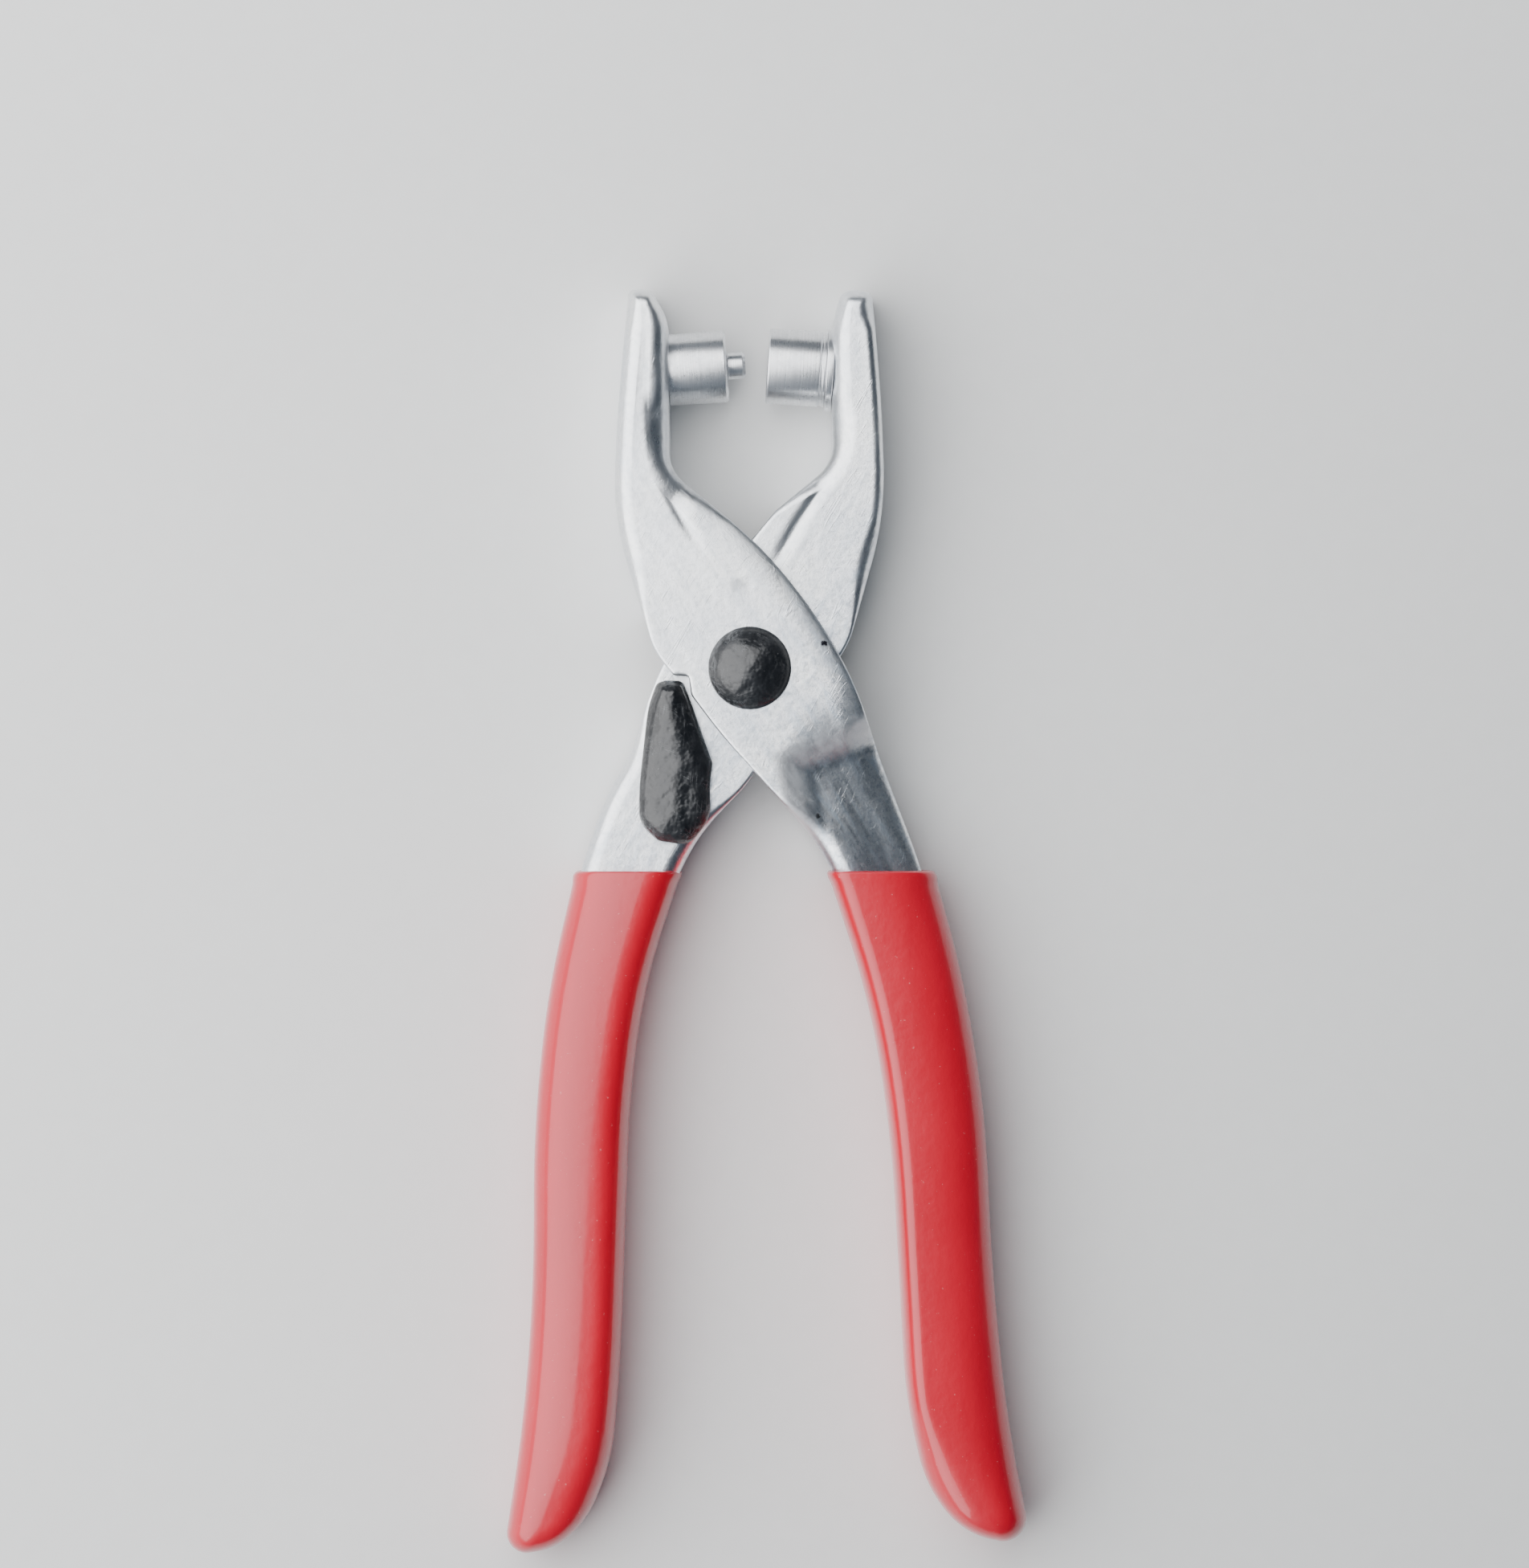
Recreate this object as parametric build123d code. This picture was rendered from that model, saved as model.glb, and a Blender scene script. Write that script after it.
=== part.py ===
from build123d import *
import math
import os

# Grommet setter: hand pliers of two pressed steel arms on one domed rivet. A punch die on one jaw and an
# anvil die on the other close on an eyelet. A torsion spring opens the handles and a swinging latch locks them.
#
# Frame: the tool lies on its back. +Z is its front, +Y points to the jaws and +X to its right.
# The origin is on the pivot axis, on the flat face of the rivet's rear head.
# The rear arm is the right jaw and left handle. The front arm is the left jaw and right handle, and it
# crosses in front. Its plate is one sheet higher, so its handle steps back to lie level with the other.

# Sheet and levels (mm, along Z)
sheet = 1.6                     # thickness of the pressed steel
bend_radius = 1.5               # outside radius where the web turns into its side walls
rear_head_height = 1.4
washer_height = 0.6
coil_room = 4.2                 # stack height that the spring bush keeps free for the coil
plate_gap = 0.1                 # running gap between the two plates
face_gap = 0.05                 # running gap under a rivet head or beside a washer
rear_back = rear_head_height + washer_height + coil_room
rear_front = rear_back + sheet
front_back = rear_front + plate_gap
front_front = front_back + sheet
jaw_back = -3.0                 # free edge of the jaws' side walls
handle_back = -1.5              # free edge of the handles' side walls
step_run = 2.2                  # length of the slope where the front arm's handle steps back

# Pivot
shank_radius = 3.0
head_radius = 4.9
head_height = 2.7               # domed front head
rear_head_radius = 4.3
running_clearance = 0.05        # radial, between a rivet and what turns on it
bush_radius = 3.9

# Return spring
wire = 1.5
leg_wire = 1.4                  # the legs are a touch thinner, so that they start inside the coil's wire
leg_overlap = 0.5
coil_radius = 4.9               # to the middle of the wire
coil_pitch = 1.55
leg_end = (17.0, -22.5)         # where each leg presses on its handle's outer wall

# Dies. At rest the latch holds them apart, each tilted half the closing angle, so that they meet square
closing_angle = 7.5
die_reach = 36.3                # pivot axis to the axis of the dies
die_height = 2.0                # Z of that axis
punch_radius = 4.3
punch_face = -0.35              # places along the axis, from the foot of the line to the pivot
punch_base = -7.5
pin_radius = 1.6
pin_length = 2.2
pin_chamfer = 0.35
tenon_radius = 1.2
pin_depth = 3.0                 # how far the pin's tenon is pressed into the punch
curl_groove_radius = 2.4
curl_groove_size = 0.7
anvil_radius = 4.5
anvil_face = -0.26
anvil_base = 6.75
anvil_washer_radius = 5.0
anvil_washer_end = 7.7
anvil_bore_radius = 1.75
anvil_bore_depth = 3.4
flange_dish_radius = 3.4
flange_dish_depth = 0.5
tail_radius = 2.2
tail_end = 9.7

# Latch
latch_pivot = (-8.8, -16.0)
latch_back = rear_front + 0.35
latch_front = latch_back + 2.6
latch_edge = 0.9
latch_shank = 1.5
collar_radius = 2.2
collar_height = 0.6
collar_back = latch_back + 0.85
latch_tail_radius = 2.4
latch_tail_height = 0.8
wave_washer_radius = 3.2
wave_washer_height = 0.3

# Grips
coat = 1.5                      # vinyl in front of and behind the handle
grip_round = 2.2
dip_line = -24.0


def arc_radius(before, here, after):
    """The largest arc that a corner's two runs leave room for, or the corner's own radius if that is less."""
    back = Vector(*before[:2]) - Vector(*here[:2])
    ahead = Vector(*after[:2]) - Vector(*here[:2])
    half_turn = math.radians(180 - back.get_angle(ahead)) / 2
    largest = 0.49 * min(back.length, ahead.length) / math.tan(half_turn)
    return min([largest, *here[2:]])


def flat_face(corners):
    """A closed face with every corner (x, y) or (x, y, radius) rounded, so that it is runs and arcs in turn."""
    count = len(corners)
    radii = [arc_radius(corners[i - 1], corners[i], corners[(i + 1) % count]) for i in range(count)]
    return make_face(FilletPolyline(*[corner[:2] for corner in corners], radius=radii, close=True))


def mirrored(corners):
    """The same corners on the other side of the pivot's centre line."""
    return [(-corner[0], *corner[1:]) for corner in corners]


def raised(face, low, high):
    """The face pulled from height low to height high."""
    return extrude(Pos(0, 0, low) * face, amount=high - low, dir=(0, 0, 1))


def rounded_block(face, low, high, radius):
    """A raised face with its front edges rounded."""
    block = raised(face, low, high)
    return fillet(block.faces().sort_by(Axis.Z)[-1].edges(), radius)


def rod(radius, start, end, centre=(0, 0)):
    """A round rod along Z between two heights."""
    return Pos(centre[0], centre[1], start) * Cylinder(radius, end - start, align=FROM_LOW_END)


def die_rod(side, radius, start, end):
    """A round rod on the axis of a die: side 1 is the punch's tilt at rest, side -1 the anvil's."""
    on_axis = Rot(0, 0, side * closing_angle / 2) * Pos(start, die_reach, die_height) * Rot(0, 90, 0)
    return on_axis * Cylinder(radius, end - start, align=FROM_LOW_END)


def save(node, shape):
    """One file for each sub-part, named after it."""
    shape.label = node
    export_step(shape, f"parts/{node}.step")


FROM_LOW_END = (Align.CENTER, Align.CENTER, Align.MIN)
FAR = 200.0                     # past the whole tool

# --- Outlines, seen from the front. Each corner is (x, y), with a radius where the arc is a small one ------

# Left jaw of the front arm: up its back, over the tip, down the throat and past the pivot
left_jaw = [
    (-11.3, 1.9), (-16.1, 17.6), (-15.8, 28.5), (-14.55, 45.0, 1.65), (-11.2, 45.0, 1.65),
    (-9.65, 41.0), (-9.5, 23.4), (1.2, 14.6), (7.5, 6.9), (12.4, -1.5), (15.2, -10.0),
]
# Right handle: down its outer side, round the hidden end of the tang and up its inner side
right_handle = [
    (20.6, -24.0), (24.2, -36.5), (26.8, -52.0), (28.0, -75.0), (29.3, -90.0), (30.4, -99.3, 2.4),
    (25.4, -98.8, 3.5), (21.6, -93.0), (19.5, -82.0), (18.9, -66.0), (17.6, -52.0), (13.9, -35.0),
    (9.8, -24.0), (7.3, -19.7), (-3.3, -8.0), (-6.9, -3.0, 1.5),
]
right_jaw = [
    (11.5, 1.9), (16.05, 18.0), (15.75, 30.0), (14.6, 45.0, 1.65), (11.2, 45.0, 1.65),
    (9.7, 40.6), (9.85, 24.4), (3.0, 18.6, 1.5), (-0.6, 14.2), (-7.7, 5.5),
]
left_handle = [
    (-11.8, -2.5), (-13.9, -9.9), (-17.0, -15.0), (-20.2, -24.0), (-22.8, -37.0), (-24.3, -52.0),
    (-24.5, -72.0), (-25.4, -90.0), (-26.2, -99.8, 2.6), (-22.0, -99.3, 3.5), (-18.2, -92.5),
    (-16.7, -80.0), (-16.2, -64.0), (-15.4, -49.0), (-12.7, -37.0), (-8.5, -24.3), (-5.6, -19.2),
    (0.4, -13.0), (2.9, -8.0), (7.3, -2.3, 1.5),
]
# Round the pivot the side walls are left off, so that the arms can swing past each other
bare_zone = [
    (-20.0, 5.2), (-9.0, 5.2), (-9.0, 12.0), (-5.0, 15.5), (-2.0, 19.2), (14.0, 14.0), (20.0, -5.0),
    (9.0, -5.0), (4.6, -12.9), (1.4, -16.0), (-20.0, -10.0),
]
latch_outline = [
    (-12.0, -4.6), (-11.3, -1.9), (-9.4, -1.45), (-7.9, -1.45, 1.0), (-6.65, -4.8), (-4.4, -11.2, 1.0),
    (-4.75, -14.0), (-4.55, -17.8), (-7.0, -20.9), (-10.0, -20.5), (-13.1, -18.3), (-13.1, -14.5),
    (-12.4, -8.0),
]
# Each grip runs from one end of its flat dip line, round the tip, to the other end
left_grip_outline = [
    (-8.1, dip_line), (-12.4, -37.0), (-14.3, -50.5), (-14.85, -66.0), (-15.4, -82.0), (-16.4, -94.0),
    (-19.2, -101.0), (-22.9, -104.6), (-29.4, -105.6, 2.9), (-27.0, -90.0), (-25.8, -74.0),
    (-25.7, -54.0), (-24.0, -38.0), (-20.75, dip_line),
]
right_grip_outline = [
    (9.2, dip_line), (14.4, -40.0), (16.9, -56.0), (17.8, -72.0), (18.6, -87.0), (21.0, -97.3),
    (25.6, -103.0), (33.7, -104.4, 2.9), (30.8, -90.0), (29.0, -73.0), (28.0, -52.0), (25.4, -36.5),
    (22.0, dip_line),
]


def high_side(start, end, depth):
    """All space on the jaw side of the slope whose upper edge runs from start to end, sunk by depth."""
    along = Vector(end[0] - start[0], end[1] - start[1]).normalized()
    down_slope = along.cross(Vector(0, 0, 1))
    slope = step_run / (front_front - rear_front)
    profile = Plane(origin=(start[0], start[1], front_front - depth), x_dir=down_slope, z_dir=-along)
    low, high = -FAR / 4, FAR / 4
    section = Polyline((-FAR, low), (-slope * low, low), (-slope * high, high), (-FAR, high), close=True)
    return extrude(profile * make_face(section), amount=FAR, both=True)


def stepped(low_block, high_block, depth):
    """Two blocks joined at the front arm's step: the high one on the jaw side and in the corner of the crotch."""
    jaw_side = high_block & high_side((2.6, -10.5), (12.1, -6.5), depth)
    above_crotch = Pos(0, -20, 0) * Box(FAR, FAR, FAR, align=(Align.CENTER, Align.MIN, Align.CENTER))
    crotch_side = high_block & above_crotch & high_side((4.1, -15.5), (3.2, -11.0), depth)
    return low_block + jaw_side + crotch_side


def front_arm():
    face = flat_face(left_jaw + right_handle)
    outside = stepped(rounded_block(face, jaw_back, rear_front, bend_radius),
                      rounded_block(face, jaw_back, front_front, bend_radius), 0)
    hollow = offset(face, amount=-sheet) + make_face(Polyline(*bare_zone, close=True))
    drop = front_front - rear_front
    sloped_sheet = sheet * math.hypot(step_run, drop) / step_run
    inside = stepped(raised(hollow, 2 * jaw_back, rear_back), raised(hollow, 2 * jaw_back, front_back),
                     sloped_sheet)
    ledge = Pos(-8.4, -2.1, front_front) * Box(2.4, 2.3, 4 * sheet)
    arm = outside - inside - below_handles() - ledge - rod(shank_radius + running_clearance, 0, FAR)
    return arm - die_rod(1, tail_radius, tail_end * -1, punch_face)


def rear_arm():
    face = flat_face(right_jaw + left_handle)
    outside = rounded_block(face, jaw_back, rear_front, bend_radius)
    hollow = offset(face, amount=-sheet) + make_face(Polyline(*mirrored(bare_zone), close=True))
    arm = outside - raised(hollow, 2 * jaw_back, rear_back) - below_handles()
    arm -= rod(shank_radius + running_clearance, 0, FAR)
    arm -= rod(latch_shank + running_clearance, 0, FAR, latch_pivot)
    return arm - die_rod(-1, tail_radius, anvil_face, tail_end)


def below_handles():
    """What is trimmed off behind the handles, whose walls are shallower than the jaws'."""
    return Pos(0, -FAR / 2, handle_back) * Box(FAR, FAR, 10, align=(Align.CENTER, Align.CENTER, Align.MAX))


def pivot_rivet():
    """Shank with a flat rear head, and a front head that is a slice of a ball."""
    seat = front_front + face_gap
    ball_radius = (head_radius ** 2 + head_height ** 2) / (2 * head_height)
    ball = Pos(0, 0, seat + head_height - ball_radius) * Sphere(ball_radius)
    dome = ball & rod(head_radius + 1, seat, seat + head_height + 1)
    rear_head = rod(rear_head_radius, 0, rear_head_height)
    rear_head = chamfer(rear_head.faces().sort_by(Axis.Z)[0].edges(), 0.4)
    return rear_head + rod(shank_radius, 0.5, seat + 0.5) + dome


def return_spring():
    """A coil round the bush, whose two legs leave it on tangents and run into the handles."""
    reach = math.hypot(*leg_end)
    lean = math.atan2(-leg_end[1], leg_end[0])
    first = math.acos(coil_radius / reach) - lean
    turn = 360 + math.degrees(math.pi - 2 * first)
    rise = coil_pitch * turn / 360
    low = rear_back - 0.15 - wire / 2 - rise
    helix = Helix(coil_pitch, rise, coil_radius)
    coil = sweep(Plane(helix @ 0, z_dir=helix % 0) * Circle(wire / 2), path=helix)
    spring = Pos(0, 0, low) * Rot(0, 0, math.degrees(first)) * coil
    for side, height in ((1, low), (-1, low + rise)):
        root = Vector(side * coil_radius * math.cos(first), coil_radius * math.sin(first), height)
        leg = Vector(side * leg_end[0], leg_end[1], height) - root
        leg_rod = Cylinder(leg_wire / 2, leg.length + leg_overlap, align=FROM_LOW_END)
        spring += Plane(root, z_dir=leg) * Pos(0, 0, -leg_overlap) * leg_rod
    return spring


def punch_die(arm_block):
    body = die_rod(1, punch_radius, punch_base, punch_face) - arm_block
    body += die_rod(1, tail_radius, -tail_end, punch_face - 1)
    groove = Torus(curl_groove_radius, curl_groove_size)
    body -= Rot(0, 0, closing_angle / 2) * Pos(punch_face, die_reach, die_height) * Rot(0, 90, 0) * groove
    return body - die_rod(1, tenon_radius, punch_face - pin_depth, 1)


def punch_pin():
    """A guide pin whose thinner tenon is pressed into the punch."""
    pin = die_rod(1, pin_radius, punch_face, punch_face + pin_length)
    pin = chamfer(pin.faces().sort_by(Axis.X)[-1].edges(), pin_chamfer)
    return pin + die_rod(1, tenon_radius, punch_face - pin_depth, punch_face)


def anvil_die():
    body = die_rod(-1, anvil_radius, anvil_face, anvil_base) + die_rod(-1, tail_radius, anvil_base, tail_end)
    body -= die_rod(-1, anvil_bore_radius, anvil_face - 1, anvil_face + anvil_bore_depth)
    return body - die_rod(-1, flange_dish_radius, anvil_face - 1, anvil_face + flange_dish_depth)


def anvil_washer(arm_block):
    ring = die_rod(-1, anvil_washer_radius, anvil_base, anvil_washer_end)
    return ring - die_rod(-1, tail_radius, anvil_base - 1, tail_end) - arm_block


def latch_lever():
    lever = rounded_block(flat_face(latch_outline), latch_back, latch_front, latch_edge)
    lever -= rod(latch_shank + running_clearance, 0, collar_back, latch_pivot)
    room = collar_back - face_gap, collar_back + collar_height + face_gap
    return lever - rod(collar_radius + running_clearance, *room, latch_pivot)


def latch_rivet():
    tail_front = rear_back - face_gap
    rivet = rod(latch_tail_radius, tail_front - latch_tail_height, tail_front, latch_pivot)
    rivet += rod(latch_shank, tail_front - 0.1, collar_back + 0.1, latch_pivot)
    return rivet + rod(collar_radius, collar_back, collar_back + collar_height, latch_pivot)


def grip(outline, tang_face):
    """Dipped vinyl: a rounded block with the tang's own block taken out, open at the dip line."""
    radii = [arc_radius(*outline[i - 1:i + 2]) for i in range(1, len(outline) - 1)]
    side = FilletPolyline(*[corner[:2] for corner in outline], radius=radii)
    face = make_face([side, Line(outline[-1][:2], outline[0][:2])])
    block = raised(face, handle_back - coat, rear_front + coat)
    ends = block.faces().sort_by(Axis.Z)
    rims = [edge for cap in (ends[0], ends[-1]) for edge in cap.edges() if edge.center().Y < dip_line - 0.01]
    block = fillet(rims, grip_round)
    tang = rounded_block(tang_face, jaw_back, rear_front, bend_radius) - below_handles()
    return block - tang


os.makedirs("parts", exist_ok=True)
front_face = flat_face(left_jaw + right_handle)
rear_face = flat_face(right_jaw + left_handle)
front_block = raised(front_face, 2 * jaw_back, front_front)
rear_block = raised(rear_face, 2 * jaw_back, rear_front)
bush_front = rear_back
bush_back = rear_head_height + washer_height + face_gap

save("rear_arm", rear_arm())
save("front_arm", front_arm())
save("pivot_rivet", pivot_rivet())
save("pivot_washer", rod(rear_head_radius + 0.5, rear_head_height, rear_head_height + washer_height)
     - rod(shank_radius + running_clearance, 0, 10))
save("spring_bush", rod(bush_radius, bush_back, bush_front) - rod(shank_radius + running_clearance, 0, 10))
save("return_spring", return_spring())
save("punch_die", punch_die(front_block))
save("punch_pin", punch_pin())
save("anvil_die", anvil_die())
save("anvil_washer", anvil_washer(rear_block))
save("latch_lever", latch_lever())
save("latch_rivet", latch_rivet())
save("latch_washer", rod(wave_washer_radius, rear_front, rear_front + wave_washer_height, latch_pivot)
     - rod(latch_shank + running_clearance, 0, 20, latch_pivot))
save("left_grip", grip(left_grip_outline, rear_face))
save("right_grip", grip(right_grip_outline, front_face))
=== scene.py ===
import math

import bmesh
import bpy
import numpy as np
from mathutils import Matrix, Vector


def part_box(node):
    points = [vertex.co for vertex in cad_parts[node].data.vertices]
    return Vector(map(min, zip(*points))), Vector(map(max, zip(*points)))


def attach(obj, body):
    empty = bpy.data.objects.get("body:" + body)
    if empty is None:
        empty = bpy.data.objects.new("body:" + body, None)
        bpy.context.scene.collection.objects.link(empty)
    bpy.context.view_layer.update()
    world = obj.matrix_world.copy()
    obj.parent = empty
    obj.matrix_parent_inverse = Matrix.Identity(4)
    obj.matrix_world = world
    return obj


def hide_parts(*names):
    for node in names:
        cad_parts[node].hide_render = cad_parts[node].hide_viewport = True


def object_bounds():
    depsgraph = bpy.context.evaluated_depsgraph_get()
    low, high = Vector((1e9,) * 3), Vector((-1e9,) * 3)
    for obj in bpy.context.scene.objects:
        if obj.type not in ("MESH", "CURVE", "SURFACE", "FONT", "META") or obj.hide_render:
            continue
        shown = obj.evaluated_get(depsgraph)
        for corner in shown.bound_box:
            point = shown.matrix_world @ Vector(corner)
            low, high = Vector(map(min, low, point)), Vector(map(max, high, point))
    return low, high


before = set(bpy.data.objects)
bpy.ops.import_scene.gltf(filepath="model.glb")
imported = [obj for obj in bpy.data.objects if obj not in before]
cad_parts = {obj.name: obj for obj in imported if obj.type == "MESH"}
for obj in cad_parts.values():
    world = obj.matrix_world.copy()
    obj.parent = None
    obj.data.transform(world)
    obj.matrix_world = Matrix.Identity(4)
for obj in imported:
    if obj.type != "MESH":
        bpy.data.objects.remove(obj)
cad_low, cad_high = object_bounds()


# --- The two pressed arms --------------------------------------------------------------------------------
# Each arm is one blank of 1.6 mm steel, pressed to a channel whose side walls stand off the back, then bright
# zinc plated. Round the pivot the walls are cut away, and the front arm steps back to its handle.

MM = 0.001
SHEET = 1.6
REAR_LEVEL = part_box("rear_arm")[1].z / MM       # front faces of the two webs
FRONT_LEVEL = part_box("front_arm")[1].z / MM
WALL_END_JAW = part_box("rear_arm")[0].z / MM
WALL_END_HANDLE = WALL_END_JAW + 1.5


def unit(vectors):
    """Each vector divided by its length."""
    return vectors / np.linalg.norm(vectors, axis=-1, keepdims=True)


STEP = np.array([               # where the front arm's web starts to fall: along the top, and in the crotch
    [(2.6, -10.4), (12.1, -6.3)],
    [(4.1, -15.5), (3.2, -11.0)],
])


def square(line):
    """The direction in the plan that is square to a line, to the right of its run."""
    along = unit(line[1] - line[0])
    return np.array([along[1], -along[0]])


def ease(values, start, end):
    """0 before start, 1 after end, and a smooth cubic between them."""
    share = np.clip((values - start) / (end - start), 0, 1)
    return share * share * (3 - 2 * share)


def route(corners, arc_points=24):
    """Straight runs joined by tangent arcs. An arc takes up just under half of its shorter run, or less where
    a corner states its radius. Points on it are its two end radii, mixed by the sines of the angles to
    them."""
    corners = [np.array(corner, float) for corner in corners]
    path = [corners[0][None, :2]]
    for before, here, after in zip(corners, corners[1:], corners[2:]):
        back, ahead = before[:2] - here[:2], after[:2] - here[:2]
        reach = 0.49 * min(np.linalg.norm(back), np.linalg.norm(ahead))
        back, ahead = unit(back), unit(ahead)
        half_turn = (math.pi - math.acos(np.clip(back @ ahead, -1, 1))) / 2
        if len(here) > 2:
            reach = min(reach, here[2] * math.tan(half_turn))
        out = reach / math.tan(half_turn) / math.cos(half_turn)
        centre = here[:2] + unit(back + ahead) * out
        first, last = here[:2] + back * reach - centre, here[:2] + ahead * reach - centre
        angle = np.linspace(0, 2 * half_turn, arc_points)[:, None]
        arc = np.sin(2 * half_turn - angle) * first + np.sin(angle) * last
        path.append(centre + arc / math.sin(2 * half_turn))
    path.append(corners[-1][None, :2])
    return np.concatenate(path)


def side(path, stations):
    """Points down one side of a piece: between one station's height and the next they are evenly spaced, so
    that the two sides keep step. stations is a list of (Y, points above it)."""
    walked = np.concatenate([[0], np.cumsum(np.linalg.norm(np.diff(path, axis=0), axis=1))])
    marks = np.interp([-height for height, count in stations], -path[:, 1], walked)
    marks = np.concatenate([[0], marks[:-1], walked[-1:]])
    counts = [count for height, count in stations]
    places = [np.linspace(a, b, n, endpoint=False) for a, b, n in zip(marks, marks[1:], counts)]
    places = np.concatenate([*places, walked[-1:]])
    return np.stack([np.interp(places, walked, path[:, k]) for k in (0, 1)], axis=1)


def middle_line(left, right, left_out):
    """Half way between the two sides. At each end it stops short, and the last rows fan out from there."""
    middle = (left + right) / 2
    from_start = np.linalg.norm(middle - middle[0], axis=1)
    from_end = np.linalg.norm(middle - middle[-1], axis=1)
    first = np.argmax(from_start > left_out[0])
    last = len(middle) - 1 - np.argmax(from_end[::-1] > left_out[1])
    return middle[np.clip(np.arange(len(middle)), first, last)]


def make_piece(name, grids, body, replaced, material, smooth_angle=40):
    """A closed mesh from grids of points in millimetres. Each grid is rows by columns, and neighbours make a
    quad. Points closer than joined, in metres, are merged, which closes seams and poles, and edges shorter
    than lost are dissolved. A grid's marks become point attributes."""
    joined, lost = 2e-7, 1e-7
    vertices, faces, marks = [], [], {}
    for grid, grid_marks in grids:
        rows, columns = grid.shape[:2]
        index = np.arange(rows * columns).reshape(rows, columns) + sum(len(v) for v in vertices)
        quads = np.stack([index[:-1, :-1], index[:-1, 1:], index[1:, 1:], index[1:, :-1]], axis=-1)
        vertices.append(grid.reshape(-1, 3) * MM)
        faces.append(quads.reshape(-1, 4))
        for mark, values in grid_marks.items():
            marks.setdefault(mark, []).append(np.reshape(values, (rows * columns, -1)))
    mesh = bpy.data.meshes.new(name)
    mesh.from_pydata(np.concatenate(vertices).tolist(), [], np.concatenate(faces).tolist())
    for mark, values in marks.items():
        values = np.concatenate(values).astype(np.float32)
        kind, field = ("FLOAT_VECTOR", "vector") if values.shape[1] == 3 else ("FLOAT", "value")
        mesh.attributes.new(mark, kind, "POINT").data.foreach_set(field, values.ravel())
    work = bmesh.new()
    work.from_mesh(mesh)
    bmesh.ops.remove_doubles(work, verts=work.verts, dist=joined)
    bmesh.ops.dissolve_degenerate(work, edges=work.edges, dist=lost)
    bmesh.ops.recalc_face_normals(work, faces=work.faces)
    work.to_mesh(mesh)
    work.free()
    mesh.polygons.foreach_set("use_smooth", np.ones(len(mesh.polygons), bool))
    mesh.set_sharp_from_angle(angle=math.radians(smooth_angle))
    mesh.materials.append(material)
    piece = bpy.data.objects.new(name, mesh)
    bpy.context.scene.collection.objects.link(piece)
    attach(piece, body)
    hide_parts(*replaced)
    return piece


class Level:
    """A number or colour that varies over a surface. Python's operators join Math nodes to its socket."""

    def __init__(self, finish, socket):
        self.finish = finish
        self.socket = socket

    def reckon(self, operation, *values):
        return self.finish.node("Math", {"operation": operation}, dict(enumerate(values)))

    def __add__(self, other):
        return self.reckon("ADD", self, other)

    def __sub__(self, other):
        return self.reckon("SUBTRACT", self, other)

    def __rsub__(self, other):
        return self.reckon("SUBTRACT", other, self)

    def __mul__(self, other):
        return self.reckon("MULTIPLY", self, other)

    __radd__ = __add__
    __rmul__ = __mul__


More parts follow.
